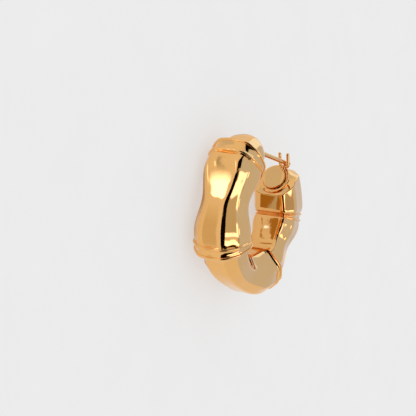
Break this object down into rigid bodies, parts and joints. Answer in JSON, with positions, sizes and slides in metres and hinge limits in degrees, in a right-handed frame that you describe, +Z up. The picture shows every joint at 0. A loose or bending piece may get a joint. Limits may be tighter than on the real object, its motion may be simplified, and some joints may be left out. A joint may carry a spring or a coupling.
{
  "type": "bamboo hoop earring",
  "caption": "Open C-shaped hoop earring of fluted gold tube in bamboo sections, with ringed knuckles, round end plates, and a straight ear post that snaps into a U fork.",
  "frame": {"origin": "bottom centre of the bounding box of the hoop lying on its side, on the surface it rests on", "axes": "+X from the front of the hoop to its back, +Y from its lowest point when worn to its top, where the ear post is, +Z up, away from the surface"},
  "size_m": [0.03, 0.0302, 0.0107],
  "materials": {
    "polished_gold": "mirror-polished yellow gold"
  },
  "bodies": {
    "root": {"bamboo_hoop": "polished_gold", "catch_plate": "polished_gold", "front_end_plate": "polished_gold", "ear_post": "polished_gold"}
  },
  "joints": []
}
